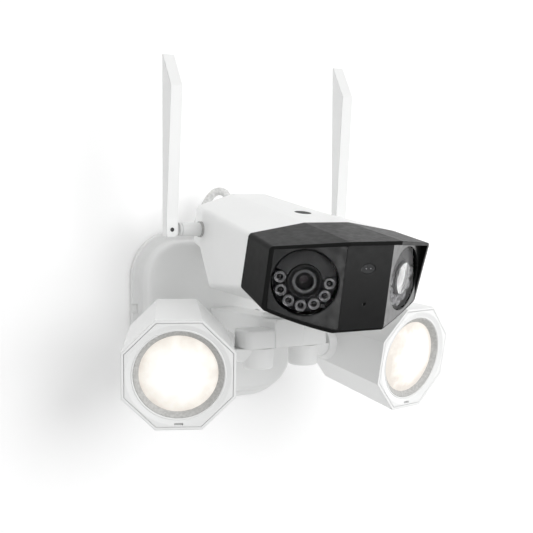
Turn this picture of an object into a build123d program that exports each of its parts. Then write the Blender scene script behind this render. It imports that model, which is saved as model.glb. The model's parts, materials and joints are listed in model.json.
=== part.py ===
from build123d import *
import math
import os

# Twin-lens floodlight camera for a wall or a junction box.
# Frame: the wall is the plane y = 0, the object faces -Y, +X is to the right seen from the front, +Z is up.
# The origin is the middle of the wall bracket, on the wall. Millimetres and degrees.

# ---- driving dimensions ---------------------------------------------------------------------
# wall base
base_w, base_h, base_corner = 143.0, 136.0, 36.0
face_w, face_h = 129.0, 122.0
base_back, flange_front, base_front = -1.5, -5.0, -21.5
base_wall = 3.0
bracket_w, bracket_h, bracket_t = 112.0, 34.0, 2.5
box_screw_pitch, slot_length, slot_w = 88.9, 10.0, 4.6
wire_hole_r = 11.0
cover_bolt_x = 30.0

# arm
post_half_w, post_top = 12.2, 8.0
arm_bottom, arm_top = -12.2, 1.0
bar_half_l, bar_half_w, bar_corner = 34.0, 11.5, 5.0
pan_x, pan_y = 19.2, -106.5
channel_half_w = 8.0

# lamps: each pans about an upright axis under the arm's end and tilts on the neck beside it
tilt_z = -12.9
lamp_reach, lamp_front, lamp_rear, lamp_cap = 57.8, 58.0, 12.0, 8.0
web_y = -26.2
lamp_w_front, lamp_w_rear, lamp_w_cap, lamp_wall = 75.7, 66.5, 50.0, 1.8
lamp_pan = {"left": 25.3, "right": 13.2}
lamp_tilt = 10.0
lens_r, seal_r, dish_r = 26.6, 30.2, 34.8
dish_depth, seal_depth, lens_dome = 1.5, 3.0, 4.0
drum_r, drum_bottom = 11.3, -27.4
neck_r, flare_r, flare_base_r, flare_reach, axle_r = 10.0, 10.6, 16.0, 40.0, 4.0
spigot_r, spigot_top = 5.0, -2.2

# camera head, drawn level in a frame of its own and then pitched; "fwd" is the distance ahead of
# that frame's origin
head_y, head_z, head_pitch = -158.0, 48.5, 11.0
head_wall = 2.6
fold_x, fold_fwd = 18.2, 52.0
side_x, side_fwd = 59.7, 29.7
panel_t = 3.0
window_x, window_r, window_t = 39.6, 21.6, 2.0
barrel_r, ring_r, glass_r = 11.1, 7.8, 5.9
led_r, led_circle, led_step = 3.8, 16.0, 31.0
hinge_y, hinge_z, lug_r, hinge_r = -103.0, 17.8, 5.0, 3.0

# antennas
ant_x, ant_y, ant_z, ant_w = 72.9, -74.2, 71.4, 9.0
ant_bottom, ant_top_front, ant_top_back = 66.0, 172.2, 196.0
ant_back, ant_front_low, ant_front_high = -71.0, -77.4, -84.8
tube_r, tube_start, pin_r, foot_r = 4.9, 6.0, 1.5, 5.6

# head cable: from the back of the head, over in a small arch and down into the base
cable_r = 3.0
gland_x, gland_z = -7.0, 48.5
head_gland_x, head_gland_z = -8.0, 8.1
head_gland_fwd = -107.5

# clearances: between bodies that only pass each other, and in a running fit
gap, fit = 0.3, 0.05

X, Y, Z = (1, 0, 0), (0, 1, 0), (0, 0, 1)
LOW = (Align.CENTER, Align.CENTER, Align.MIN)


# ---- helpers --------------------------------------------------------------------------------
def block(x0, x1, y0, y1, z0, z1):
    return Pos((x0 + x1) / 2, (y0 + y1) / 2, (z0 + z1) / 2) * Box(x1 - x0, y1 - y0, z1 - z0)


def rod(start, direction, length, r0, r1=None):
    plane = Plane(origin=start, z_dir=direction)
    if r1 is None:
        return plane * Cylinder(r0, length, align=LOW)
    return plane * Cone(r0, r1, length, align=LOW)


def ring(start, direction, length, r_out, r_in):
    return rod(start, direction, length, r_out) - rod(start, direction, length, r_in)


def rounded_plate(w, h, r, y0, y1):
    """Plate with rounded corners that lies along the wall, from y0 out to y1."""
    return extrude(Plane.XZ.offset(-y0) * RectangleRounded(w, h, r), y0 - y1)


def polygon_loft(sections):
    wires = [Wire.make_polygon([Vector(*p) for p in points], close=True) for points in sections]
    return Solid.make_loft(wires, ruled=True)


def rounded_loft(sections, radii):
    """Straight-sided loft through closed outlines with rounded corners, one radius for each outline."""
    outlines = [FilletPolyline(*points, radius=r, close=True) for points, r in zip(sections, radii)]
    return Solid.make_loft([Wire(outline.edges()) for outline in outlines], ruled=True)


def octagon(width, y):
    r = width / 2 / math.cos(math.pi / 8)
    turns = [math.pi / 8 + i * math.pi / 4 for i in range(8)]
    return [(r * math.cos(t), y, r * math.sin(t)) for t in turns]


def octagon_loft(*steps):
    return polygon_loft([octagon(width, y) for width, y in steps])


def screw(seat, direction, head_r, head_h, shank_r, shank_l):
    """Pan-head screw: the head stands behind its seat, the shank runs along the direction. Cross recess."""
    top = Vector(*seat) - Vector(*direction) * head_h
    body = rod(top, direction, head_h, head_r * 0.86, head_r) + rod(seat, direction, shank_l, shank_r)
    plane = Plane(origin=top, z_dir=direction)
    for size in ((1.1, 0.28), (0.28, 1.1)):
        body -= plane * Box(head_r * size[0], head_r * size[1], head_h)
    return body


def hexagon(start, direction, length, across):
    plane = Plane(origin=start, z_dir=direction)
    return plane * extrude(RegularPolygon(across / 2, 6, major_radius=False), length)


def cable_gland(start, direction, wall):
    """Gland with a hexagon collar outside, a domed cap over it, and a neck and locknut through the wall."""
    d = Vector(*direction)
    body = hexagon(start, direction, 3.0, 13.0)
    body += rod(Vector(*start) + d * 3.0, direction, 2.5, 5.8, 4.9)
    body += rod(Vector(*start) - d * (wall + 2.6), direction, wall + 2.6, 4.4)
    body += hexagon(Vector(*start) - d * (wall + 2.4), direction, 2.2, 11.0)
    return body - rod(Vector(*start) - d * 20, direction, 40, cable_r + fit)


def compound(parts):
    return Compound(children=[part.solid() for part in parts])


nodes = {}
head_frame = Pos(0, head_y, head_z) * Rot(head_pitch, 0, 0)
sides = {"left": -1, "right": 1}
turn = {"left": -lamp_pan["left"], "right": lamp_pan["right"]}
knuckle_frame = {n: Pos(s * pan_x, pan_y, tilt_z) * Rot(0, 0, turn[n]) for n, s in sides.items()}
lamp_frame = {
    n: knuckle_frame[n] * Pos(s * lamp_reach, 0, 0) * Rot(lamp_tilt, 0, 0) for n, s in sides.items()
}


# ---- wall base ------------------------------------------------------------------------------
foot_screws = [(x, z) for x in (-8, 8) for z in (-8, 4)]
board_posts = [(x, z) for x in (-38, 38) for z in (16, 40)]


def base_housing():
    face_r = base_corner - (base_w - face_w) / 2
    drum = rounded_plate(face_w, face_h, face_r, base_back, base_front)
    drum = fillet(drum.faces().sort_by(Axis.Y)[0].edges(), 4.0)
    flange = rounded_plate(base_w, base_h, base_corner, base_back, flange_front)
    flange = fillet(flange.faces().sort_by(Axis.Y)[0].edges(), 1.2)
    # hollow foot that rises from the flange to the drum in a concave sweep
    cove = rounded_plate(face_w + 9, face_h + 9, face_r + 4.5, base_back, flange_front - 4.5)
    cove -= cove_cutter(face_w, face_h, face_r, 4.5)
    body = drum + flange + cove
    inner_w, inner_h, inner_r = face_w - 2 * base_wall, face_h - 2 * base_wall, face_r - base_wall
    body -= rounded_plate(inner_w, inner_h, inner_r, 1, base_front + base_wall)
    for x in (-cover_bolt_x, cover_bolt_x):
        body += rod((x, base_front + 2, 0), Y, 16.5, 5.0)
        body -= rod((x, base_front - 1, 0), Y, 3.6, 4.6)
        body -= rod((x, base_front - 1, 0), Y, 22, 2.1)
    for x, z in board_posts:
        body += rod((x, base_front + 2, z), Y, 5.0, 2.5)
    for x, z in foot_screws:
        body -= rod((x, base_front - 1, z), Y, 5, 1.6)
    body -= rod((0, base_front - 1, -2), Y, 5, 4.0)
    body -= rod((gland_x, base_front - 1, gland_z), Y, 5, 4.4 + fit)
    # release notch in the flange's left edge
    body -= block(-base_w / 2 - 1, -base_w / 2 + 4.5, flange_front - 6, flange_front + 1.5, 5, 12)
    return body


def cove_cutter(w, h, r, size):
    """Bead around a rounded rectangle: what is cut from a step to leave a concave quarter round."""
    y = flange_front - size
    path = Plane.XZ.offset(-y) * RectangleRounded(w + 2 * size, h + 2 * size, r + size)
    outline = path.faces()[0].outer_wire()
    start = Vector(-w / 2 - size, y, 0)
    section = Plane(origin=start, x_dir=X, z_dir=Z) * Circle(size)
    return sweep(section, path=outline)


def wall_bracket():
    plate = rounded_plate(bracket_w, bracket_h, 6, 0, -bracket_t)
    plate -= rod((0, -4, 0), Y, 8, wire_hole_r)
    for s in (-1, 1):
        slot = Plane.XZ * Pos(s * box_screw_pitch / 2, 0) * SlotOverall(slot_length, slot_w)
        plate -= extrude(slot, 4, both=True)
        plate -= rod((s * cover_bolt_x, -4, 0), Y, 8, 2.1 + fit)
        plate -= rod((s * 20, -4, 12), Y, 8, 2.0)
    return plate


def wall_gasket():
    outer = rounded_plate(base_w - 2, base_h - 2, base_corner - 1, 0, base_back)
    return outer - rounded_plate(base_w - 14, base_h - 14, base_corner - 7, 1, base_back - 1)


nodes["base_housing"] = base_housing()
nodes["wall_bracket"] = wall_bracket()
nodes["wall_gasket"] = wall_gasket()
nodes["base_bolts"] = compound(
    [screw((s * cover_bolt_x, base_front + 2.6, 0), Y, 4.2, 2.4, 2.1, 18.9) for s in (-1, 1)]
)
board = block(-42, 42, -14.5, -12.9, 12, 46)
for spot in board_posts:
    board -= rod((spot[0], -16, spot[1]), Y, 5, 1.2)
board += block(24, 32, -12.9, -6, 22, 36) + rod((-28, -12.9, 30), Y, 7.5, 5.5)
nodes["power_board"] = board
nodes["transformer"] = block(-12, 12, -12.9, -4.9, 20, 40) - block(-13, 13, -10.9, -6.9, 25, 26)
terminals = block(-16, 16, -18.5, -8.5, -42, -28)
for x in (-11, 0, 11):
    terminals -= rod((x, -14, -45), Z, 9, 2.2)
    terminals -= rod((x, -11, -33), Y, 5, 2.0)
nodes["terminal_block"] = terminals
nodes["base_gland"] = cable_gland((gland_x, base_front, gland_z), (0, -1, 0), base_wall)

# ---- arm ------------------------------------------------------------------------------------
arm_front = pan_y - bar_half_w
cover_y, cover_t = (-94.5, -31.0), 2.5


def arm_body():
    post = block(-post_half_w, post_half_w, arm_front - 1.0, base_front, arm_bottom, post_top)
    post = fillet(post.edges().filter_by(Axis.Y).group_by(Axis.Z)[-1], 2.5)
    post = fillet(post.edges().filter_by(Axis.Z).group_by(Axis.Y)[0], 1.0)
    outline = RectangleRounded(2 * bar_half_l, 2 * bar_half_w, bar_corner)
    bar = Pos(0, pan_y, arm_bottom) * extrude(outline, arm_top - arm_bottom)
    bar = fillet(bar.faces().sort_by(Axis.Z)[-1].edges(), 1.5)
    body = post + bar
    body -= block(-channel_half_w, channel_half_w, -88, -38, arm_bottom - 1, 4)
    seat_w = channel_half_w + 1.2
    body -= block(-seat_w, seat_w, cover_y[0], cover_y[1], arm_bottom - 1, arm_bottom + cover_t)
    body -= rod((0, -40, -2), Y, 25, 4.0)
    for x, z in foot_screws:
        body -= rod((x, base_front - 7, z), Y, 8, 1.5)
    # head swivel bore with a counterbore from below
    body -= rod((0, hinge_y, -20), Z, 30, 6.0 + fit)
    body -= rod((0, hinge_y, -20), Z, 15.2, 8.0)
    for s in (-1, 1):
        body -= rod((s * pan_x, pan_y, -20), Z, 20 + spigot_top + 0.7, spigot_r + fit)
        body -= rod((s * pan_x, pan_y, -6), Y, 14, 1.5)
    for y in (-91.2, -34.5):
        body -= rod((0, y, -11), Z, 9, 1.3)
    return body


nodes["arm_body"] = arm_body()
cover_w = channel_half_w + 1.0
cover = block(-cover_w, cover_w, cover_y[0] + 0.2, cover_y[1] - 0.2, arm_bottom, arm_bottom + cover_t)
for y in (-91.2, -34.5):
    cover -= rod((0, y, -13), Z, 2.2, 2.8) + rod((0, y, -13), Z, 5, 1.3)
nodes["arm_cover"] = cover
nodes["arm_screws"] = compound(
    [screw((x, base_front + base_wall, z), (0, -1, 0), 3.0, 2.0, 1.5, 9.0) for x, z in foot_screws]
    + [screw((0, y, -10.8), Z, 2.8, 1.3, 1.3, 7.0) for y in (-91.2, -34.5)]
)
nodes["pan_screws"] = compound(
    [
        rod((s * pan_x, pan_y + bar_half_w - 0.4, -6), (0, -1, 0), bar_half_w - 0.4 - spigot_r - gap, 1.5)
        - hexagon((s * pan_x, pan_y + bar_half_w, -6), (0, -1, 0), 2.5, 1.6)
        for s in (-1, 1)
    ]
)

# ---- swivel under the head -------------------------------------------------------------------
disc_top = post_top + 3.0


def head_swivel():
    body = rod((0, hinge_y, post_top + 0.1), Z, 2.9, 11.5)
    body = chamfer(body.edges().group_by(Axis.Z)[-1], 0.8)
    body += rod((0, hinge_y, -4.5), Z, 13, 6.0)
    body += block(-5, 5, hinge_y - lug_r, hinge_y + lug_r, disc_top - 0.5, hinge_z)
    body += rod((-5, hinge_y, hinge_z), X, 10, lug_r)
    body -= rod((-6, hinge_y, hinge_z), X, 12, hinge_r + fit)
    return body - rod((0, hinge_y, -6), Z, 12, 2.0)


nodes["head_swivel"] = head_swivel()
nodes["swivel_screw"] = screw((0, hinge_y, -5.1), Z, 7.2, 2.6, 2.0, 11.0)


# ---- camera head (level frame) -----------------------------------------------------------------
def section(fwd, shrink, fold, top, outer, shoulder, low_outer, low, keel, bottom):
    """Eight-sided cross-section: roof fold, shoulder, flank and keel corners, drawn in by shrink."""
    t = shrink
    right = [
        (fold - 0.4 * t, top - t), (outer - t, shoulder - 0.6 * t),
        (low_outer - t, low + 0.6 * t), (keel - 0.4 * t, bottom + t),
    ]
    points = right + [(-x, z) for x, z in reversed(right)]
    return [(x, -fwd, z) for x, z in points]


def rear_sections(t, back):
    return [
        section(back, t, 14.1, 29.1, 43.3, 19.8, 43.3, -6.8, 41.0, -8.6),
        section(-87.0, t, 15.0, 29.2, 48.2, 20.4, 48.2, -6.8, 45.9, -8.6),
        section(-65.0, t, 15.9, 29.5, 49.9, 21.1, 49.9, -29.5, 47.0, -32.0),
        section(0.0, t, 18.0, 29.8, 60.0, 23.0, 62.0, -13.5, 20.0, -32.0),
    ]


def head_outside():
    """Outer form of the shell: rounded along its length, with the edges of its back rolled over."""
    shape = rear_sections(0, head_back + 2.4)
    rolled = [rear_sections(t, head_back + inset)[0] for t, inset in ((2.2, 0.0), (1.1, 0.3), (0.35, 1.1))]
    return rounded_loft(rolled + shape, (2.6, 3.2, 3.6, 3.8, 4.4, 4.6, 3.2))


def hood_sections(t, start, end):
    """The hood widens a little and its flanks drop as it runs forward."""
    stations = []
    for fwd in (start, end):
        k = fwd / 30.0
        stations.append(
            section(fwd, t, 18 + 1.2 * k, 29.8, 60 + 3.4 * k, 23 - 0.8 * k, 62.0, -13.5 - 7 * k, 20.0, -32.0)
        )
    return stations


head_back = head_gland_fwd
cover_x, cover_fwd = 16.0, (-34.0, -12.0)
hinge_local = (48.13, -40.6)
bracket_screws = [(x, y) for x in (-12.2, 12.2) for y in (42, 54)]
speaker_x, speaker_z = 20.0, 9.0
speaker_turns = [i * math.pi / 3 for i in range(6)]
speaker_holes = [(0, 0)] + [(4.6 * math.cos(t), 4.6 * math.sin(t)) for t in speaker_turns]


def head_shell():
    body = head_outside()
    inner = rear_sections(head_wall, head_back + head_wall)
    body -= polygon_loft(inner) + polygon_loft([inner[-1], [(x, -1.0, z) for x, y, z in inner[-1]]])
    body -= rod((head_gland_x, -head_back - 5, head_gland_z), Y, 10, 4.4 + fit)
    for x, z in speaker_holes:
        body -= rod((speaker_x + x, -head_back - 5, speaker_z + z), Y, 10, 1.0)
    # bores for the antenna tubes
    body -= rod((-80, tube_local_y, tube_local_z), X, 160, tube_r + fit)
    # round window in the roof and the service opening in the keel
    body -= rod((2.8, 34.0, 20), Z, 15, 6.1)
    body -= block(-cover_x, cover_x, -cover_fwd[1], -cover_fwd[0], -33, -30.4)
    body -= block(-cover_x + 4, cover_x - 4, -cover_fwd[1] + 2, -cover_fwd[0] - 2, -33, -28)
    for x, y in bracket_screws:
        body -= rod((x, y, -33), Z, 5, 1.5)
    for x in (-cover_x + 2, cover_x - 2):
        body -= rod((x, 23, -33), Z, 5, 1.0)
    return body


def front_cut(top_fwd, bottom_fwd):
    """Space ahead of the hood's rim: its middle is straight and its sides fall back with the panels."""
    def outline(fwd, z):
        slope = (fold_fwd - side_fwd) / (side_x - fold_x)
        back = fwd - slope * (90 - fold_x - 2)
        points = [(-90, back), (-fold_x - 2, fwd), (fold_x + 2, fwd), (90, back), (90, 120), (-90, 120)]
        return [(x, -f, z) for x, f in points]

    return polygon_loft([outline(bottom_fwd, -40), outline(top_fwd, 35)])


def visor_hood():
    body = rounded_loft(hood_sections(0, 0.0, 64.0), (3.2, 2.8))
    body -= polygon_loft(hood_sections(head_wall, -1.0, 65.0))
    return body - front_cut(58.4, 47.2)


def panel_slab(fwd0, fwd1):
    """Upright three-sided slab that follows the lens panels between two depths."""
    slope = (fold_fwd - side_fwd) / (side_x - fold_x)
    side = fwd1 - slope * (90 - fold_x)
    front = [(-90, side), (-fold_x, fwd1), (fold_x, fwd1), (90, side)]
    back = [(x, f - fwd1 + fwd0) for x, f in reversed(front)]
    face = make_face(Polyline([(x, -f) for x, f in front + back], close=True))
    return Pos(0, 0, -40) * extrude(face, 80)


panel_turn = math.atan2(fold_fwd - side_fwd, side_x - fold_x)


def window_plane(s, depth):
    """Lies in a lens window, sunk by depth behind the panel's face; its z looks out of the window."""
    fwd = fold_fwd - (window_x - fold_x) * math.tan(panel_turn)
    normal = Vector(s * math.sin(panel_turn), -math.cos(panel_turn), 0)
    origin = Vector(s * window_x, -fwd, 0) - normal * depth
    return Plane(origin=origin, x_dir=Vector(0, 0, 1).cross(normal), z_dir=normal)


def disc(plane, r, t):
    return plane * Cylinder(r, t, align=LOW)


def face_panel():
    body = polygon_loft(hood_sections(head_wall + 0.1, 0.0, 64.0))
    body &= panel_slab(fold_fwd - panel_t, fold_fwd)
    for s in (-1, 1):
        body -= disc(window_plane(s, 9), window_r, 20)
    body -= Plane.XZ * Pos(0, 10.6) * extrude(Ellipse(5.35, 3.25), 80)
    body -= rod((0, -70, -12.7), Y, 40, 1.1)
    return body


def lens_barrel(s):
    body = disc(window_plane(s, 24.0), barrel_r, 21.2)
    body -= disc(window_plane(s, 5.2), ring_r, 10)
    body -= window_plane(s, 9.2) * Cone(glass_r - 1.6, glass_r, 4.0, align=LOW)
    return body + disc(window_plane(s, 27.0), 7.0, 3.0)


def lens_glass(s):
    dome = window_plane(s, 14.6) * Sphere(9.5) & disc(window_plane(s, 6.7), glass_r - 0.3, 6)
    return dome.solid()


def lens_ring(s):
    return disc(window_plane(s, 5.1), ring_r - 0.1, 1.6) - disc(window_plane(s, 6), glass_r, 5)


def led_turns(s):
    return [math.radians(-90 + 3 * s + led_step * i) for i in range(-3, 4)]


def ir_board(s):
    body = disc(window_plane(s, 8.8), window_r - 1.0, 1.2) - disc(window_plane(s, 10), barrel_r + 0.2, 5)
    return body + window_plane(s, 7.7) * Pos(-s * 13.4, -14.9) * Cylinder(1.4, 4.8, align=LOW)


def ir_led(s, t):
    spot = Pos(led_circle * math.cos(t), led_circle * math.sin(t))
    cup = window_plane(s, 7.6) * spot * Cylinder(led_r, 4.7, align=LOW)
    cup -= window_plane(s, 7.0) * spot * Cone(1.5, led_r - 0.4, 4.2, align=LOW)
    return cup + window_plane(s, 6.2) * spot * Sphere(1.3)


def daylight_window():
    return Plane.XZ.offset(fold_fwd - panel_t) * Pos(0, 10.6) * extrude(Ellipse(5.25, 3.15), 2.7)


def service_cover():
    half = cover_x - 0.1
    return block(-half, half, -cover_fwd[1] + 0.1, -cover_fwd[0] - 0.1, -32, -30.4)


def main_board():
    body = block(-34, 34, -20, 52, -17.6, -16.0) + block(-9, 9, 5, 23, -16, -13)
    body += block(14, 26, 30, 44, -16, -13.5) + block(-28, -16, -10, 2, -16, -14)
    return body + block(-25, -12, 36, 48, -16, -10)


tube_local = head_frame.inverse() * Pos(0, ant_y, ant_z)
tube_local_y, tube_local_z = tube_local.position.Y, tube_local.position.Z


def head_bracket():
    y, z = hinge_local
    body = block(-15, 15, y - 9, y + 9, -35, -32)
    for s in (-1, 1):
        low, high = sorted((s * (5 + gap), s * (9 + gap)))
        body += block(low, high, y - lug_r, y + lug_r, z, -34.5) + rod((low, y, z), X, 4, lug_r)
    body -= rod((-20, y, z), X, 40, hinge_r)
    for x, yy in bracket_screws:
        body -= rod((x, yy, -36), Z, 5, 1.6)
    return body


def hinge_bolt():
    y, z = hinge_local
    body = rod((-9.3, y, z), X, 21.0, hinge_r) + hexagon((9.3, y, z), X, 2.6, 8.5)
    return body + rod((-11.9, y, z), X, 2.6, 4.8) - hexagon((-12, y, z), X, 1.8, 3.6)


head_nodes = {
    "head_shell": head_shell(),
    "visor_hood": visor_hood(),
    "face_panel": face_panel(),
    "window_left": disc(window_plane(-1, 0.5 + window_t), window_r - 0.1, window_t),
    "window_right": disc(window_plane(1, 0.5 + window_t), window_r - 0.1, window_t),
    "lens_barrels": compound([lens_barrel(s) for s in (-1, 1)]),
    "lens_rings": compound([lens_ring(s) for s in (-1, 1)]),
    "lens_glasses": compound([lens_glass(s) for s in (-1, 1)]),
    "ir_boards": compound([ir_board(s) for s in (-1, 1)]),
    "ir_leds": compound([ir_led(s, t) for s in (-1, 1) for t in led_turns(s)]),
    "daylight_window": daylight_window(),
    "mic_mesh": rod((0, -fold_fwd + panel_t, -12.7), Y, 1.2, 2.4),
    "roof_window": rod((2.8, 34.0, 26.4), Z, 3.0, 6.0),
    "main_board": main_board(),
    "speaker": rod((speaker_x, -head_back - head_wall - 8, speaker_z), Y, 8, 9.5)
    - rod((speaker_x, -head_back - head_wall - 1.5, speaker_z), Y, 2, 8.5),
    "service_cover": service_cover(),
    "head_bracket": head_bracket(),
    "hinge_bolt": hinge_bolt(),
    "head_gland": cable_gland((head_gland_x, -head_back, head_gland_z), Y, head_wall),
}
for x in (-cover_x + 2, cover_x - 2):
    head_nodes["service_cover"] -= rod((x, 23, -34), Z, 5, 1.0)
head_nodes["head_screws"] = compound(
    [screw((x, y, -35), Z, 2.5, 1.6, 1.5, 7.0) for x, y in bracket_screws]
    + [screw((x, 23, -32), Z, 1.8, 0.8, 1.0, 4.5) for x in (-cover_x + 2, cover_x - 2)]
)
for name, shape in head_nodes.items():
    nodes[name] = head_frame * shape


# ---- antennas --------------------------------------------------------------------------------
def antenna_blade(s):
    """Tapered blade with a slanted tip. Its foot is a fork: front and back cheeks and an outer wall."""
    low = [(ant_back, ant_bottom), (ant_front_low, ant_bottom)]
    profile = low + [(ant_front_low, ant_z + 8), (ant_front_high, ant_top_front), (ant_back, ant_top_back)]
    face = Plane.YZ * make_face(Polyline(profile, close=True))
    body = Pos(s * ant_x - ant_w / 2, 0, 0) * extrude(face, ant_w)
    body = chamfer(body.edges().filter_by(Axis.Y).group_by(Axis.Z)[0], 1.0)
    body = fillet(body.edges().filter_by(Axis.X).group_by(Axis.Z)[-1], 0.4)
    inner, outer = -s * (ant_w / 2 + 1), s * (ant_w / 2 - 1)
    x0, x1 = sorted((s * ant_x + inner, s * ant_x + outer))
    body -= block(x0, x1, ant_y - 1.9, ant_y + 1.9, ant_bottom - 1, ant_z + 4.2)
    # the foot's inner corner is round about the pin, so that it passes the tube as the blade folds
    x0, x1 = sorted((s * ant_x, s * (ant_x - 10)))
    corner = block(x0, x1, ant_y - 10, ant_y + 10, ant_z - 10, ant_z)
    body -= corner - rod((s * ant_x, ant_y - 10, ant_z), Y, 20, foot_r)
    return body - rod((s * ant_x, ant_y - 10, ant_z), Y, 20, pin_r)


def antenna_tube(s):
    """Swivel tube into the head's side with a flat tongue for the fold pin."""
    start = (s * (ant_x - tube_start), ant_y, ant_z)
    body = rod(start, (-s, 0, 0), ant_x - tube_start - 40, tube_r)
    body = chamfer(body.edges().filter_by(GeomType.CIRCLE).sort_by(Axis.X)[0 if s < 0 else -1], 0.5)
    body -= ring((s * (ant_x - tube_start - 1.4), ant_y, ant_z), (-s, 0, 0), 0.7, tube_r + 1, tube_r - 0.4)
    x0, x1 = sorted((s * ant_x, s * (ant_x - tube_start - 1)))
    body += block(x0, x1, ant_y - 1.7, ant_y + 1.7, ant_z - 3.0, ant_z + 3.0)
    body += rod((s * ant_x, ant_y - 1.7, ant_z), Y, 3.4, 3.0)
    return body - rod((s * ant_x, ant_y - 3, ant_z), Y, 6, pin_r + fit)


def antenna_gasket(s):
    body = ring((s * 40, ant_y, ant_z), (s, 0, 0), 10.0, tube_r + 0.8, tube_r + fit)
    return (body - head_frame * head_outside()).solid()


for side, s in sides.items():
    nodes[f"antenna_blade_{side}"] = antenna_blade(s)
    nodes[f"antenna_tube_{side}"] = antenna_tube(s)
    pin = rod((s * ant_x, ant_front_low, ant_z), Y, ant_back - ant_front_low, pin_r)
    nodes[f"antenna_pin_{side}"] = pin
nodes["antenna_gaskets"] = compound([antenna_gasket(s) for s in (-1, 1)])


# ---- lamps -----------------------------------------------------------------------------------
def knuckle(s):
    """Pan drum with its spigot, and the neck that carries the lamp on an axle. Origin on both axes."""
    drum_low, drum_high = drum_bottom - tilt_z, arm_bottom - gap - tilt_z
    neck_end = lamp_reach - flare_reach - gap
    neck = rod((0, 0, 0), (s, 0, 0), neck_end, neck_r)
    neck += rod((0, 0, 0), (s, 0, 0), lamp_reach - 25.5, axle_r)
    # room for the end of the arm's bar above the neck
    x0, x1 = sorted((-s * 20, s * neck_end))
    neck -= block(x0, x1, -20, 20, drum_high, 30)
    drum = rod((0, 0, drum_low), Z, drum_high - drum_low, drum_r - 0.7, drum_r)
    drum = fillet(drum.edges().group_by(Axis.Z)[0], 1.8)
    return drum + neck + rod((0, 0, 0), Z, spigot_top - tilt_z, spigot_r)


def lamp_barrel(s):
    """Eight-sided barrel, open in front, with a flared boss for the axle on the side that faces the arm."""
    w_bore = lamp_w_front - 2 * lamp_wall
    body = octagon_loft((lamp_w_front, -lamp_front), (lamp_w_rear, lamp_rear))
    flare = rod((-s * 30, 0, 0), (-s, 0, 0), flare_reach - 30, flare_base_r, flare_r)
    flare = fillet(flare.edges().filter_by(GeomType.CIRCLE).sort_by(Axis.X)[0 if s > 0 else -1], 1.2)
    body += flare - block(-50, 50, lamp_rear, lamp_rear + 20, -30, 30)
    body -= octagon_loft((w_bore, -lamp_front), (lamp_w_rear - 2 * lamp_wall, lamp_rear))
    body -= octagon_loft((w_bore, -lamp_front - 1), (w_bore, -lamp_front))
    # web across the barrel that the LED board is screwed to
    web = octagon_loft((w_bore - 3, web_y), (w_bore - 3, web_y + 3.0)) - rod((0, web_y - 1, 0), Y, 5, 6.0)
    body += web
    return body - rod((-s * 20, 0, 0), (-s, 0, 0), 25, axle_r + fit)


def lamp_cap_shape():
    w, plug_w = lamp_w_rear, lamp_w_rear - 2 * lamp_wall - 0.4
    body = octagon_loft((w, lamp_rear), (w - 3, lamp_rear + 3), (lamp_w_cap, lamp_rear + lamp_cap))
    body += octagon_loft((plug_w - 0.5, lamp_rear - 3), (plug_w, lamp_rear))
    return body - octagon_loft((w - 12, lamp_rear - 4), (lamp_w_cap - 6, lamp_rear + lamp_cap - 2))


def lamp_bezel():
    """Front ring: eight-sided outside, dished towards the round seal."""
    w = lamp_w_front - 2 * lamp_wall - 0.5
    body = octagon_loft((w, -lamp_front), (w - 0.8, -lamp_front + 6))
    body -= rod((0, -lamp_front - 0.01, 0), Y, dish_depth, dish_r, seal_r)
    # drain slot under the opening
    body -= block(-3, 3, -lamp_front - 1, -lamp_front + 3, -w / 2 + 1.2, -w / 2 + 2.4)
    return body - rod((0, -lamp_front - 1, 0), Y, 10, seal_r)


def lamp_seal():
    y = -lamp_front + dish_depth
    body = rod((0, y, 0), Y, 6.5, seal_r - 0.05)
    body -= rod((0, y - 0.01, 0), Y, seal_depth, seal_r - 0.6, lens_r - 0.2)
    return body - rod((0, y, 0), Y, 8, lens_r - 0.2)


def lamp_lens():
    y = -lamp_front + dish_depth + seal_depth
    big = (lens_r**2 + lens_dome**2) / (2 * lens_dome)
    dome = Pos(0, y - lens_dome + big, 0) * Sphere(big)
    return (dome & rod((0, y - lens_dome - 1, 0), Y, lens_dome + 2.5, lens_r - 0.25)).solid()


def lamp_reflector():
    y = -lamp_front + 8
    outer = rod((0, y, 0), Y, web_y - 1.7 - y, lens_r + 1.5, 12)
    return outer - rod((0, y - 0.01, 0), Y, web_y - 1.68 - y, lens_r, 10.5)


def lamp_board():
    y = web_y - 1.6
    body = rod((0, y, 0), Y, 1.6, 24.0) + block(-7, 7, y - 0.8, y, -7, 7)
    for i in range(3):
        t = math.radians(90 + 120 * i)
        body -= rod((20 * math.cos(t), y - 1, 20 * math.sin(t)), Y, 4, 1.6)
    return body


def axle_nut(s):
    start = (s * (lamp_reach - 31.0), 0, 0)
    return hexagon(start, (s, 0, 0), 4.0, 12.0) - rod((0, 0, 0), (s, 0, 0), 60, axle_r + 0.03)


for side, s in sides.items():
    frame = lamp_frame[side]
    nodes[f"lamp_knuckle_{side}"] = knuckle_frame[side] * knuckle(s)
    nodes[f"lamp_nut_{side}"] = knuckle_frame[side] * axle_nut(s)
    nodes[f"lamp_barrel_{side}"] = frame * lamp_barrel(s)
    nodes[f"lamp_cap_{side}"] = frame * lamp_cap_shape()
    nodes[f"lamp_bezel_{side}"] = frame * lamp_bezel()
    nodes[f"lamp_seal_{side}"] = frame * lamp_seal()
    nodes[f"lamp_lens_{side}"] = frame * lamp_lens()
    nodes[f"lamp_reflector_{side}"] = frame * lamp_reflector()
    nodes[f"lamp_board_{side}"] = frame * lamp_board()


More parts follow.
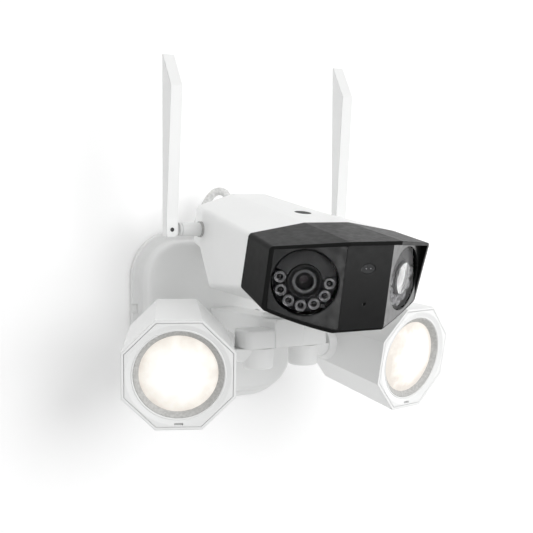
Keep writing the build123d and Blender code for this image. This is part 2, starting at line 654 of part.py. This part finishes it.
# ---- head cable ------------------------------------------------------------------------------
cable_start = (head_frame * Pos(head_gland_x, 100.0, head_gland_z)).position
cable_out = (head_frame * Pos(head_gland_x, 122.5, head_gland_z)).position
cable_route = [
    cable_start,
    cable_out,
    Vector(-5.0, -37.5, 99.0),
    Vector(-16.0, -28.5, 99.5),
    Vector(-33.0, -29.0, 64.0),
    Vector(gland_x, -36.5, gland_z),
    Vector(gland_x, -16.0, gland_z),
]


def route_radii(points):
    """Arc radius at each corner: 0.45 of the shorter run over the tangent of half the turn."""
    radii = []
    for a, b, c in zip(points, points[1:], points[2:]):
        half = math.radians((b - a).get_angle(c - b)) / 2
        radii.append(0.45 * min((b - a).length, (c - b).length) / math.tan(half))
    return radii


cable_radii = route_radii(cable_route)
cable_path = FilletPolyline(*cable_route, radius=cable_radii)
cable_start_plane = Plane(origin=cable_route[0], z_dir=cable_route[1] - cable_route[0])
nodes["head_cable"] = sweep(cable_start_plane * Circle(cable_r), path=cable_path)
print("cable radii", [round(r, 1) for r in cable_radii], "length", round(cable_path.length, 1))
cable_prism = math.pi * cable_r**2 * cable_path.length
print("cable volume / section x length", round(nodes["head_cable"].volume / cable_prism, 4))

# ---- export ----------------------------------------------------------------------------------
os.makedirs("parts", exist_ok=True)
for name, shape in nodes.items():
    export_step(shape, f"parts/{name}.step")
print(len(nodes), "nodes")
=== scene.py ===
import bmesh
import bpy
import json
import math
from mathutils import Matrix, Vector


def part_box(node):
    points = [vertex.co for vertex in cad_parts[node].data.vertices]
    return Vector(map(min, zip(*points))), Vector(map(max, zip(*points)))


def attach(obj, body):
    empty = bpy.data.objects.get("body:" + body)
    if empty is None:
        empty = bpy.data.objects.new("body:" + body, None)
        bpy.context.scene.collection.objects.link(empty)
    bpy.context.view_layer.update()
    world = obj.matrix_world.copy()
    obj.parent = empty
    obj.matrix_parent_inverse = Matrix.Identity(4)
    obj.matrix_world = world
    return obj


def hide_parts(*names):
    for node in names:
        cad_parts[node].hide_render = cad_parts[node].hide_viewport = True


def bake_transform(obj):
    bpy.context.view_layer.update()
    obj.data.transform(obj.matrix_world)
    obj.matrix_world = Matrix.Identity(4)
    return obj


# Floodlight camera on a white wall. Metres; the wall is y = 0, the object faces -Y, +Z is up.

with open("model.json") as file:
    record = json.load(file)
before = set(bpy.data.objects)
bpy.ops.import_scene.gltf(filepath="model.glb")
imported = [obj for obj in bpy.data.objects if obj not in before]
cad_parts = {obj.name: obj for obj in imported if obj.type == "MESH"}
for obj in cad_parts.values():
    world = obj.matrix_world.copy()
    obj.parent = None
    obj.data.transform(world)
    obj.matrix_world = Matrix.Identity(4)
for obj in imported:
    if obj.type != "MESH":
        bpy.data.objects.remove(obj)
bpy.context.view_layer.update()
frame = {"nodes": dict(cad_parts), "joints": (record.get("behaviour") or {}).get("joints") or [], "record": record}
nodes = frame["nodes"]
joints = {j["name"]: j for j in frame["joints"]}
SIDES = {"left": -1, "right": 1}
HEAD_PITCH, LAMP_TILT = math.radians(11.0), math.radians(10.0)
PANEL_TURN = math.atan2(22.3, 41.5)  # how far each lens panel looks to its side
LAMP_SEAL_HALF = 0.00325  # half the depth of a lamp's seal
CAMERA_PLACE = (-0.40248, -0.74774, 0.09223)
CAMERA_TURN, CAMERA_PITCH, CAMERA_ROLL = math.radians(31.31), math.radians(3.59), math.radians(-0.24)


# ---- camera and head cable --------------------------------------------------------------------
def make_camera():
    """A 71 mm lens from the front left, a little above the lamps."""
    turn, pitch, roll = CAMERA_TURN, CAMERA_PITCH, CAMERA_ROLL
    right = Vector((math.cos(turn), -math.sin(turn), 0))
    ahead = Vector((math.sin(turn) * math.cos(pitch), math.cos(turn) * math.cos(pitch), -math.sin(pitch)))
    up = right.cross(ahead)
    rolled_right = right * math.cos(roll) - up * math.sin(roll)
    rolled_up = right * math.sin(roll) + up * math.cos(roll)
    data = bpy.data.cameras.new("camera")
    data.lens, data.sensor_width, data.clip_start, data.clip_end = 71.0, 36.0, 0.01, 50.0
    camera = bpy.data.objects.new("camera", data)
    bpy.context.scene.collection.objects.link(camera)
    pose = Matrix((rolled_right, rolled_up, -ahead)).transposed().to_4x4()
    pose.translation = CAMERA_PLACE
    camera.matrix_world = pose
    bpy.context.scene.camera = camera


def add_mesh(name, bm, material, smooth=True):
    mesh = bpy.data.meshes.new(name)
    bm.to_mesh(mesh)
    bm.free()
    for polygon in mesh.polygons:
        polygon.use_smooth = smooth
    obj = bpy.data.objects.new(name, mesh)
    bpy.context.scene.collection.objects.link(obj)
    obj.data.materials.append(material)
    return obj


def spline_points(points, resolution=24):
    """Points along the smooth NURBS curve whose control points are given."""
    curve = bpy.data.curves.new("route", "CURVE")
    curve.dimensions = "3D"
    spline = curve.splines.new("NURBS")
    spline.points.add(len(points) - 1)
    for target, point in zip(spline.points, points):
        target.co = (*point, 1)
    spline.order_u = 3
    spline.use_endpoint_u = True
    spline.resolution_u = resolution
    guide = bpy.data.objects.new("route", curve)
    bpy.context.scene.collection.objects.link(guide)
    bpy.context.view_layer.update()
    mesh = bpy.data.meshes.new_from_object(guide)
    line = [v.co.copy() for v in mesh.vertices]
    bpy.data.objects.remove(guide)
    return line


def tube(name, line, radius, material, sides=24):
    """Round tube along a line of points, with a frame carried along so that it doesn't twist."""
    bm = bmesh.new()
    rings = []
    turns = [2 * math.pi * k / sides for k in range(sides)]
    normal = None
    for i, point in enumerate(line):
        along = (line[min(i + 1, len(line) - 1)] - line[max(i - 1, 0)]).normalized()
        if normal is None:
            normal = along.orthogonal().normalized()
        normal = (normal - along * normal.dot(along)).normalized()
        across = along.cross(normal)
        arms = [normal * math.cos(t) + across * math.sin(t) for t in turns]
        rings.append([bm.verts.new(point + arm * radius) for arm in arms])
    for a, b in zip(rings, rings[1:]):
        for k in range(sides):
            bm.faces.new((a[k], a[(k + 1) % sides], b[(k + 1) % sides], b[k]))
    bm.faces.new(list(reversed(rings[0])))
    bm.faces.new(rings[-1])
    return add_mesh(name, bm, material)


# Control points from the head's gland, over the arch, round to the left and into the base's gland.
CABLE_ROUTE = [
    (-0.0080, -0.0614, 0.0755),
    (-0.0080, -0.0393, 0.0798),
    (-0.0050, -0.0375, 0.0990),
    (-0.0160, -0.0285, 0.0995),
    (-0.0330, -0.0290, 0.0640),
    (-0.0070, -0.0365, 0.0485),
    (-0.0070, -0.0160, 0.0485),
]
CABLE_R = 0.003


def make_head_cable(material):
    """The cable arches from the head's gland down to the base's. It is made in two halves, which
    meet at its top, by the swivel on which the head pans and tilts."""
    line = spline_points(CABLE_ROUTE)
    top = max(range(len(line)), key=lambda i: line[i].z)
    halves = {"head_cable_upper": (line[: top + 1], "head"), "head_cable_lower": (line[top:], "base")}
    for name, (points, body) in halves.items():
        half = tube(name, points, CABLE_R, material)
        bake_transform(half)
        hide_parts("head_cable")


# ---- materials --------------------------------------------------------------------------------
class Material:
    """A Principled material with helpers for the noise that varies its colour, roughness and relief."""

    def __init__(self, name, color, roughness, **inputs):
        self.material = bpy.data.materials.new(name)
        self.material.use_nodes = True
        self.tree = self.material.node_tree
        self.shader = self.tree.nodes["Principled BSDF"]
        self.shader.inputs["Base Color"].default_value = (*color, 1)
        self.shader.inputs["Roughness"].default_value = roughness
        for key, value in inputs.items():
            self.shader.inputs[key.replace("_", " ")].default_value = value
        self.color, self.roughness = color, roughness
        self.place = self.node("ShaderNodeTexCoord").outputs["Object"]

    def node(self, kind, **settings):
        made = self.tree.nodes.new(kind)
        for key, value in settings.items():
            if key in made.inputs:
                made.inputs[key].default_value = value
            else:
                setattr(made, key, value)
        return made

    def link(self, a, b):
        self.tree.links.new(a, b)

    def noise(self, scale, detail=2.0, stretch=None):
        made = self.node("ShaderNodeTexNoise", Scale=scale, Detail=detail)
        self.link(self.stretched(stretch), made.inputs["Vector"])
        return made.outputs["Fac"]

    def stretched(self, stretch):
        if stretch is None:
            return self.place
        mapping = self.node("ShaderNodeMapping")
        mapping.inputs["Scale"].default_value = stretch
        self.link(self.place, mapping.inputs["Vector"])
        return mapping.outputs["Vector"]

    def spread(self, value, low, high):
        made = self.node("ShaderNodeMapRange")
        made.inputs["From Min"].default_value = 0.3
        made.inputs["From Max"].default_value = 0.7
        made.inputs["To Min"].default_value = low
        made.inputs["To Max"].default_value = high
        self.link(value, made.inputs["Value"])
        return made.outputs["Result"]

    def tint(self, value, low, high, at=(0.35, 0.65)):
        """Colour that runs between two colours as the value runs between two stops."""
        ramp = self.node("ShaderNodeValToRGB")
        ramp.color_ramp.elements[0].position, ramp.color_ramp.elements[1].position = at
        ramp.color_ramp.elements[0].color = (*low, 1)
        ramp.color_ramp.elements[1].color = (*high, 1)
        self.link(value, ramp.inputs["Fac"])
        return ramp.outputs["Color"]

    def vary_color(self, scale, amount, stretch=None):
        low = tuple(max(0.0, c * (1 - amount)) for c in self.color)
        high = tuple(min(1.0, c * (1 + amount)) for c in self.color)
        self.link(self.tint(self.noise(scale, 4.0, stretch), low, high), self.shader.inputs["Base Color"])
        return self

    def vary_roughness(self, scale, amount, stretch=None):
        low, high = max(0.02, self.roughness - amount), self.roughness + amount
        uneven = self.spread(self.noise(scale, 5.0, stretch), low, high)
        self.link(uneven, self.shader.inputs["Roughness"])
        return self

    def relief(self, *layers, edge=0.0):
        """Bump from noise layers of (scale, detail, height in metres), laid over a softened edge."""
        normal = None
        if edge:
            normal = self.node("ShaderNodeBevel", samples=6, Radius=edge).outputs["Normal"]
        for scale, detail, height in layers:
            bump = self.node("ShaderNodeBump", Strength=1.0, Distance=height)
            self.link(self.noise(scale, detail), bump.inputs["Height"])
            if normal is not None:
                self.link(normal, bump.inputs["Normal"])
            normal = bump.outputs["Normal"]
        self.link(normal, self.shader.inputs["Normal"])
        return self


def moulded(name, color, roughness, edge=0.0008, grain=0.000012, **inputs):
    """Moulded or powder-coated surface: fine grain, slow waviness, uneven gloss and soft edges."""
    m = Material(name, color, roughness, **inputs)
    m.vary_color(18, 0.012).vary_roughness(220, 0.05)
    return m.relief((1900, 2.0, grain), (30, 1.0, 0.00001), edge=edge).material


def rubber(name, color, roughness):
    m = Material(name, color, roughness)
    m.vary_color(600, 0.12).vary_roughness(900, 0.08)
    return m.relief((2600, 3.0, 0.00003), edge=0.0004).material


def brushed_metal(name, color, roughness):
    m = Material(name, color, roughness, Metallic=1.0, Anisotropic=0.4)
    m.vary_color(900, 0.08, (1, 8, 1)).vary_roughness(1400, 0.1, (1, 12, 1))
    return m.relief((1500, 3.0, 0.000006), edge=0.0003).material


def circuit_board(name, color, tracks):
    """Solder mask with lighter copper tracks under it."""
    m = Material(name, color, 0.35, Coat_Weight=0.4)
    cells = m.node("ShaderNodeTexVoronoi", feature="DISTANCE_TO_EDGE", distance="MANHATTAN", Scale=260.0)
    m.link(m.place, cells.inputs["Vector"])
    m.link(m.tint(cells.outputs["Distance"], tracks, color, (0.08, 0.12)), m.shader.inputs["Base Color"])
    return m.relief((1800, 2.0, 0.00001)).material


def clear_glass(name, color, ior):
    """Coated glass: its index is low, because the coating takes most of the reflection away."""
    m = Material(name, color, 0.02, IOR=ior, Transmission_Weight=1.0)
    m.vary_roughness(60, 0.008)
    return m.material


def lens_coating(name):
    """Coating that is clear when faced, and mirrors its surroundings when seen at a slant."""
    m = Material(name, (0.9, 0.9, 0.9), 0.1)
    gloss = m.node("ShaderNodeBsdfGlossy", Color=(0.9, 0.9, 0.9, 1), Roughness=0.1)
    clear = m.node("ShaderNodeBsdfTransparent")
    slant = m.node("ShaderNodeMapRange", interpolation_type="SMOOTHSTEP")
    for key, value in (("From Min", 0.38), ("From Max", 0.62), ("To Min", 0.0), ("To Max", 0.2)):
        slant.inputs[key].default_value = value
    m.link(m.node("ShaderNodeLayerWeight", Blend=0.5).outputs["Facing"], slant.inputs["Value"])
    mix = m.node("ShaderNodeMixShader")
    m.link(slant.outputs["Result"], mix.inputs["Fac"])
    m.link(clear.outputs["BSDF"], mix.inputs[1])
    m.link(gloss.outputs["BSDF"], mix.inputs[2])
    m.link(mix.outputs["Shader"], m.tree.nodes["Material Output"].inputs["Surface"])
    return m.material


GLOW_REACH = 0.036  # from the middle of a lamp's lens to where its glow is warmest
CLOUD_DEPTH = {"left": 0.016, "right": 0.024}


def glowing_lens(side):
    """Frosted lens lit from behind: white in the middle, warm and faintly cloudy towards its rim."""
    m = Material("frosted_lens_" + side, (0.4, 0.39, 0.37), 0.35)
    away = m.node("ShaderNodeVectorMath", operation="DISTANCE")
    away.inputs[1].default_value = middle("lamp_lens_" + side)
    m.link(m.place, away.inputs[0])
    clouds = m.noise(130, 5.0)
    reach = m.node("ShaderNodeMath", operation="MULTIPLY_ADD")
    reach.inputs[1].default_value = CLOUD_DEPTH[side]
    m.link(clouds, reach.inputs[0])
    m.link(away.outputs["Value"], reach.inputs[2])
    glow = m.node("ShaderNodeValToRGB")
    stops = glow.color_ramp.elements
    stops[0].position, stops[0].color = 0.0, (1.0, 0.99, 0.97, 1)
    stops[1].position, stops[1].color = 1.0, (0.62, 0.56, 0.5, 1)
    for position, color in ((0.62, (0.97, 0.95, 0.92, 1)), (0.84, (0.78, 0.74, 0.68, 1))):
        stops.new(position).color = color
    scale = m.node("ShaderNodeMath", operation="DIVIDE")
    scale.inputs[1].default_value = GLOW_REACH
    m.link(reach.outputs["Value"], scale.inputs[0])
    m.link(scale.outputs["Value"], glow.inputs["Fac"])
    m.link(glow.outputs["Color"], m.shader.inputs["Emission Color"])
    m.shader.inputs["Emission Strength"].default_value = 0.8
    return m.relief((900, 2.0, 0.00002)).material


def painted_metal(name, color, metallic, roughness):
    m = Material(name, color, roughness, Metallic=metallic)
    m.vary_color(500, 0.1).vary_roughness(1200, 0.06)
    return m.relief((2200, 2.0, 0.000005), edge=0.0002).material


def ir_board_surface():
    """Near-black board with faint mottling where its parts and tracks lie."""
    m = Material("ir_board", (0.02, 0.021, 0.022), 0.45, Specular_IOR_Level=0.2)
    cells = m.node("ShaderNodeTexVoronoi", Scale=620.0)
    m.link(m.place, cells.inputs["Vector"])
    m.link(m.tint(cells.outputs["Color"], (0.008, 0.008, 0.009), (0.06, 0.062, 0.066), (0.3, 0.95)),
           m.shader.inputs["Base Color"])
    return m.relief((1500, 3.0, 0.00012)).material


WHITE = moulded("white_plastic", (0.87, 0.875, 0.87), 0.4)
BRIGHT_WHITE = moulded("lamp_white", (0.88, 0.885, 0.88), 0.36)
HOOD_BLACK = moulded("hood_black", (0.0095, 0.0098, 0.0096), 0.38, edge=0.0010, grain=0.000008,
                     Specular_IOR_Level=0.07)
PANEL_BLACK = moulded("panel_black", (0.0075, 0.0078, 0.0078), 0.22, edge=0.0010, grain=0.0,
                      Specular_IOR_Level=0.24)
DEEP_BLACK = moulded("deep_black", (0.003, 0.003, 0.0032), 0.45, edge=0.0002, grain=0.0,
                     Specular_IOR_Level=0.08)
MASK_GREY = moulded("mask_grey", (0.043, 0.043, 0.044), 0.5, edge=0.0002, grain=0.000004,
                    Specular_IOR_Level=0.03)
BARREL_BLACK = moulded("barrel_black", (0.006, 0.006, 0.0065), 0.35, edge=0.0004, grain=0.000004,
                       Specular_IOR_Level=0.25)
PIN_BLACK = moulded("pin_black", (0.02, 0.02, 0.02), 0.4, edge=0.0003)
PALE_PLASTIC = moulded("pale_plastic", (0.74, 0.745, 0.74), 0.4, edge=0.0005)
PALE_RUBBER = rubber("grey_rubber", (0.5, 0.5, 0.49), 0.6)
DARK_RUBBER = rubber("dark_rubber", (0.03, 0.03, 0.03), 0.65)
SHEATH = rubber("cable_sheath", (0.72, 0.72, 0.71), 0.45)
STEEL = brushed_metal("steel", (0.62, 0.62, 0.61), 0.3)
ZINC = brushed_metal("zinc_steel", (0.7, 0.7, 0.68), 0.38)
RING_METAL = painted_metal("ring_metal", (0.075, 0.076, 0.078), 0.3, 0.4)
CHROME = painted_metal("reflector_chrome", (0.9, 0.9, 0.9), 1.0, 0.16)
CUP_SILVER = painted_metal("led_cup", (0.32, 0.32, 0.33), 0.8, 0.3)
LED_DIE = moulded("led_die", (0.012, 0.011, 0.012), 0.15, edge=0.0, grain=0.0, Specular_IOR_Level=0.6)
GREEN_BOARD = circuit_board("circuit_board", (0.01, 0.06, 0.025), (0.03, 0.16, 0.06))
WHITE_BOARD = circuit_board("led_board", (0.7, 0.7, 0.68), (0.6, 0.5, 0.3))
IR_BOARD = ir_board_surface()
WINDOW = clear_glass("window_glass", (0.86, 0.86, 0.86), 1.048)
GLASS = clear_glass("lens_glass", (0.9, 0.9, 0.92), 1.14)
COATING = lens_coating("lens_coating")
COATED = moulded("coated_element", (0.004, 0.003, 0.004), 0.12, edge=0.0, grain=0.0,
                 Specular_Tint=(1.0, 0.72, 0.78, 1), IOR=1.5)
ROOF_WINDOW = moulded("roof_window", (0.012, 0.012, 0.013), 0.5, edge=0.0003, grain=0.0,
                      Specular_IOR_Level=0.15)
SENSOR = moulded("sensor_glass", (0.022, 0.023, 0.024), 0.25, edge=0.0002, grain=0.0,
                 Specular_IOR_Level=0.3)
BY_SLOT = {
    "white_plastic": WHITE, "black_plastic": HOOD_BLACK, "panel_plastic": PANEL_BLACK,
    "grey_plastic": PALE_PLASTIC, "grey_rubber": PALE_RUBBER, "dark_rubber": DARK_RUBBER,
    "cable_sheath": SHEATH, "steel": STEEL, "zinc_steel": ZINC, "ring_metal": RING_METAL,
    "reflector_chrome": CHROME, "circuit_board": GREEN_BOARD, "led_board": WHITE_BOARD,
    "window_glass": WINDOW, "lens_glass": GLASS, "sensor_glass": SENSOR, "lamp_diffuser": BRIGHT_WHITE,
}
BY_NODE = {
    "ir_boards": IR_BOARD, "lens_barrels": DEEP_BLACK, "antenna_pin_left": PIN_BLACK,
    "antenna_pin_right": PIN_BLACK, "roof_window": ROOF_WINDOW, "antenna_gaskets": PALE_RUBBER,
}


def paint(node, material):
    for slot in nodes[node].material_slots:
        slot.material = material


def paint_cad():
    for part in frame["record"]["subparts"]:
        paint(part["node"], BY_SLOT[part["material_slot"]])
    for side in SIDES:
        paint("lamp_lens_" + side, glowing_lens(side))
        for part in ("barrel", "bezel", "cap"):
            paint(f"lamp_{part}_{side}", BRIGHT_WHITE)
    for node, material in BY_NODE.items():
        paint(node, material)
    for side in SIDES:
        nodes["window_" + side].visible_shadow = False
    nodes["lens_glasses"].visible_shadow = False


# ---- detail on the frame ----------------------------------------------------------------------
class Place:
    """A spot with three axes of its own; x and y lie in a face and z looks out of it."""

    def __init__(self, origin, x, y, z):
        self.origin, self.x, self.y, self.z = Vector(origin), Vector(x), Vector(y), Vector(z)

    def at(self, a, b, c):
        return self.origin + self.x * a + self.y * b + self.z * c

    def moved(self, a, b, c):
        return Place(self.at(a, b, c), self.x, self.y, self.z)


def middle(node):
    low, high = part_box(node)
    return (Vector(low) + Vector(high)) / 2


def window_place(side):
    """The middle of a lens window's glass. The head looks down and each window looks to its side."""
    s = SIDES[side]
    pitch = Matrix.Rotation(HEAD_PITCH, 3, "X")
    x = Vector((math.cos(PANEL_TURN), s * math.sin(PANEL_TURN), 0))
    z = Vector((s * math.sin(PANEL_TURN), -math.cos(PANEL_TURN), 0))
    return Place(middle("window_" + side), pitch @ x, pitch @ Vector((0, 0, 1)), pitch @ z)


def lamp_place(side):
    """The middle of a lamp's seal; z looks out of the lamp."""
    across = Vector(joints["lamp_tilt_" + side]["axis"]).normalized()
    tilt = Matrix.Rotation(LAMP_TILT, 3, across)
    level = across.cross(Vector((0, 0, 1)))
    return Place(middle("lamp_seal_" + side), across, tilt @ Vector((0, 0, 1)), tilt @ level)


def lathe(bm, place, profile, sides=96):
    """Surface of revolution about the place's z, from (radius, height) pairs. A radius of 0 closes it."""
    turns = [2 * math.pi * k / sides for k in range(sides)]
    rings = []
    for radius, height in profile:
        if radius == 0:
            rings.append([bm.verts.new(place.at(0, 0, height))])
        else:
            spots = [place.at(radius * math.cos(t), radius * math.sin(t), height) for t in turns]
            rings.append([bm.verts.new(spot) for spot in spots])
    for a, b in zip(rings, rings[1:]):
        for k in range(sides):
            j = (k + 1) % sides
            corners = [a[k % len(a)], a[j % len(a)], b[j % len(b)], b[k % len(b)]]
            bm.faces.new(list(dict.fromkeys(corners)))


def piece(name, bm, material, body, replaces=()):
    bmesh.ops.recalc_face_normals(bm, faces=bm.faces[:])
    made = add_mesh(name, bm, material)
    sharpen(made)
    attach(made, body)
    for node in replaces:
        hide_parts(node)
    return made


def sharpen(obj, degrees=40):
    obj.data.set_sharp_from_angle(angle=math.radians(degrees))


def stepped_profile(r0, h0, r1, h1, steps):
    """Small stairs between two (radius, height) ends, each with a slightly lifted edge."""
    profile = []
    for i in range(steps):
        r, h = r0 + (r1 - r0) * i / steps, h0 + (h1 - h0) * i / steps
        r_next = r0 + (r1 - r0) * (i + 1) / steps
        profile += [(r, h), (r - 0.2 * (r - r_next), h + 0.00006), (r_next + 0.1 * (r - r_next), h)]
    return profile + [(r1, h1)]


# Profiles for lathe(), as (radius, height). Height 0 is the middle of the lens window's glass.
ELEMENT_R, ELEMENT_BASE, ELEMENT_RISE = 0.0027, -0.0075, 0.0014
ELEMENT_TURNS = (1.5, 1.25, 1.0, 0.75, 0.5, 0.25)
LENS_ELEMENT = [
    (ELEMENT_R * math.sin(t), ELEMENT_BASE + ELEMENT_RISE * math.cos(t)) for t in ELEMENT_TURNS
] + [(0, -0.0061)]
LENS_TRIM = [
    (0.0111, -0.0014), (0.0110, -0.0010), (0.0107, -0.0008), (0.0100, -0.0009), (0.0098, -0.0013),
]
LENS_COATING = [(0.0106, 0.00104), (0.0105, 0.00106), (0, 0.00106)]
LED_CUP = [
    (0.0037, -0.0061), (0.0038, -0.0022), (0.0037, -0.0016), (0.0035, -0.0014), (0.0032, -0.0015),
    (0.0031, -0.0021), (0.0029, -0.0023), (0.0027, -0.0020), (0.0023, -0.0019), (0.0021, -0.0022),
    (0.0020, -0.0036), (0.0017, -0.0052), (0.0010, -0.0054),
]
LED_DOME = [(0.0018, -0.0049), (0.0016, -0.0040), (0.0011, -0.0034), (0.0005, -0.0031), (0, -0.0030)]
LED_RING_R, LED_STEP, LED_LEAN = 0.016, 31, 3  # radius of the LEDs' ring, and degrees
MASK_SECTION = [
    (0.0114, -0.0040), (0.0114, -0.0022), (0.0117, -0.0019), (0.0198, -0.0017), (0.0203, -0.0020),
    (0.0203, -0.0040),
]
MASK_ENDS, MASK_STEPS = (19, 161), 64
BEZEL_LIP = [
    (0.0302, -0.0022), (0.0302, 0.0000), (0.0304, 0.0005), (0.0308, 0.0008), (0.0312, 0.0007),
    (0.0315, 0.0002), (0.0319, -0.0002), (0.0325, -0.0012),
]
PIN_COLLAR = [(0.0015, -0.0002), (0.00155, 0.0001), (0.0018, 0.0002), (0.0021, 0.0001), (0.0022, -0.0002)]
LIGHT_GUIDE = [(0.0004, -0.0001), (0.00036, 0.0001), (0.0002, 0.00016), (0, 0.0002)]


def make_lens(side):
    """Stepped baffle, coated inner element, trim ring and front coating of one lens."""
    place = window_place(side)
    baffle = stepped_profile(0.0058, -0.0054, 0.0027, -0.0073, 4)
    for name, profile, material, slot in (
        ("lens_baffle_", baffle, DEEP_BLACK, "black_plastic"),
        ("lens_element_", LENS_ELEMENT, COATED, "lens_glass"),
        ("lens_trim_", LENS_TRIM, BARREL_BLACK, "black_plastic"),
        ("lens_coating_", LENS_COATING, COATING, "lens_glass"),
    ):
        bm = bmesh.new()
        lathe(bm, place, profile)
        piece(name + side, bm, material, "head")


def led_spots(side):
    turns = [math.radians(-90 + LED_LEAN * SIDES[side] + LED_STEP * i) for i in range(-3, 4)]
    return [(LED_RING_R * math.cos(t), LED_RING_R * math.sin(t)) for t in turns]


def make_leds(side):
    """Infrared LEDs: a polished cup with a rolled rim, and a clear dome over its die."""
    place = window_place(side)
    cups, dies = bmesh.new(), bmesh.new()
    for x, y in led_spots(side):
        spot = place.moved(x, y, 0)
        lathe(cups, spot, LED_CUP, 40)
        lathe(dies, spot, LED_DOME, 32)
    piece("led_cups_" + side, cups, CUP_SILVER, "head", ["ir_leds"])
    piece("led_dies_" + side, dies, LED_DIE, "head", ["ir_leds"])


def make_mask(side):
    """Smooth mask over the upper half of the infrared board."""
    place, lean = window_place(side), LED_LEAN * SIDES[side]
    bm = bmesh.new()
    start, stop = (math.radians(end + lean) for end in MASK_ENDS)
    rows = []
    for i in range(MASK_STEPS + 1):
        t = start + (stop - start) * i / MASK_STEPS
        spots = [place.at(r * math.cos(t), r * math.sin(t), h) for r, h in MASK_SECTION]
        rows.append([bm.verts.new(spot) for spot in spots])
    for a, b in zip(rows, rows[1:]):
        for k in range(len(MASK_SECTION) - 1):
            bm.faces.new((a[k], a[k + 1], b[k + 1], b[k]))
    bm.faces.new(rows[0])
    bm.faces.new(rows[-1])
    piece("window_mask_" + side, bm, MASK_GREY, "head")


def make_bezel_lip(side):
    """Raised lip round a lamp's opening."""
    place = lamp_place(side).moved(0, 0, LAMP_SEAL_HALF)
    bm = bmesh.new()
    lathe(bm, place, BEZEL_LIP, 128)
    piece("bezel_lip_" + side, bm, BRIGHT_WHITE, "lamp_" + side)


def make_pin_collar(side):
    """Thin collar round the antenna's fold pin."""
    low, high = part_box("antenna_pin_" + side)
    x, z = (low[0] + high[0]) / 2, (low[2] + high[2]) / 2
    for end, y, out in (("front", low[1], -1), ("back", high[1], 1)):
        place = Place((x, y, z), (1, 0, 0), (0, 0, 1), (0, out, 0))
        bm = bmesh.new()
        lathe(bm, place, PIN_COLLAR, 48)
        piece(f"pin_collar_{side}_{end}", bm, WHITE, "antenna_" + side)


def make_sensor_dots():
    """Two small light guides behind the oval window between the lenses."""
    pitch = Matrix.Rotation(HEAD_PITCH, 3, "X")
    centre = middle("daylight_window")
    place = Place(centre, (1, 0, 0), pitch @ Vector((0, 0, 1)), pitch @ Vector((0, -1, 0)))
    bm = bmesh.new()
    for x in (-0.0017, 0.0019):
        spot = place.moved(x, 0.0002, 0.00135)
        lathe(bm, spot, LIGHT_GUIDE, 24)
    piece("light_guides", bm, CUP_SILVER, "head")


def make_details():
    for side in SIDES:
        make_lens(side)
        make_leds(side)
        make_mask(side)
        make_bezel_lip(side)
        make_pin_collar(side)
    make_sensor_dots()


# ---- stage and light --------------------------------------------------------------------------
def quad(name, corners, material):
    bm = bmesh.new()
    bm.faces.new([bm.verts.new(c) for c in corners])
    return add_mesh(name, bm, material, smooth=False)


def stage_material(name, shade, glow):
    """Matt white paint in front; from behind it lets the eye and the light through."""
    m = Material(name, (shade, shade, shade), 0.9, Emission_Color=(1, 1, 1, 1), Emission_Strength=glow)
    m.vary_color(3, 0.004)
    output = m.tree.nodes["Material Output"]
    mix = m.node("ShaderNodeMixShader")
    clear = m.node("ShaderNodeBsdfTransparent")
    m.link(m.node("ShaderNodeNewGeometry").outputs["Backfacing"], mix.inputs["Fac"])
    m.link(m.shader.outputs["BSDF"], mix.inputs[1])
    m.link(clear.outputs["BSDF"], mix.inputs[2])
    m.link(mix.outputs["Shader"], output.inputs["Surface"])
    return m.material


def make_stage():
    """White wall just behind the mounting plane, and a grey floor well below."""
    y, w, low = 0.0004, 4.0, -1.2
    wall_corners = [(-w, y, low), (w, y, low), (w, y, w), (-w, y, w)]
    wall = quad("wall", wall_corners, stage_material("wall_paint", 0.93, 0.14))
    floor_corners = [(-w, -w, low), (w, -w, low), (w, w, low), (-w, w, low)]
    floor = quad("floor", floor_corners, stage_material("floor_paint", 0.5, 0.0))


# Name, place, target, diameter and watts.
AREA_LIGHTS = (
    ("key", (0.4, -2.0, 0.6), (0, -0.08, 0.03), 1.4, 18.5),
    ("fill", (-0.57, -1.6, -0.62), (-0.04, -0.2, 0.04), 0.24, 1.0),
    ("side", (1.2, -0.26, -0.22), (0.04, -0.2, 0.04), 0.6, 2.8),
    ("card", (0.86, -1.4, -0.3), (0, -0.2, 0.04), 0.5, 1.2),
    ("rear", (0.3, 1.6, 0.9), (0, -0.05, 0.03), 1.5, 12),
)
WORLD_STRENGTH = 0.62


def area_light(name, place, target, size, power):
    data = bpy.data.lights.new(name, "AREA")
    data.shape, data.size, data.energy = "DISK", size, power
    light = bpy.data.objects.new(name, data)
    bpy.context.scene.collection.objects.link(light)
    light.location = place
    light.rotation_euler = (Vector(target) - Vector(place)).to_track_quat("-Z", "Y").to_euler()


def make_lights():
    world = bpy.data.worlds.new("world")
    bpy.context.scene.world = world
    world.use_nodes = True
    world.node_tree.nodes["Background"].inputs["Color"].default_value = (1, 1, 1, 1)
    world.node_tree.nodes["Background"].inputs["Strength"].default_value = WORLD_STRENGTH
    for light in AREA_LIGHTS:
        area_light(*light)
    bpy.context.scene.view_settings.view_transform = "Standard"


make_camera()
make_head_cable(SHEATH)
paint_cad()
make_details()
make_stage()
make_lights()
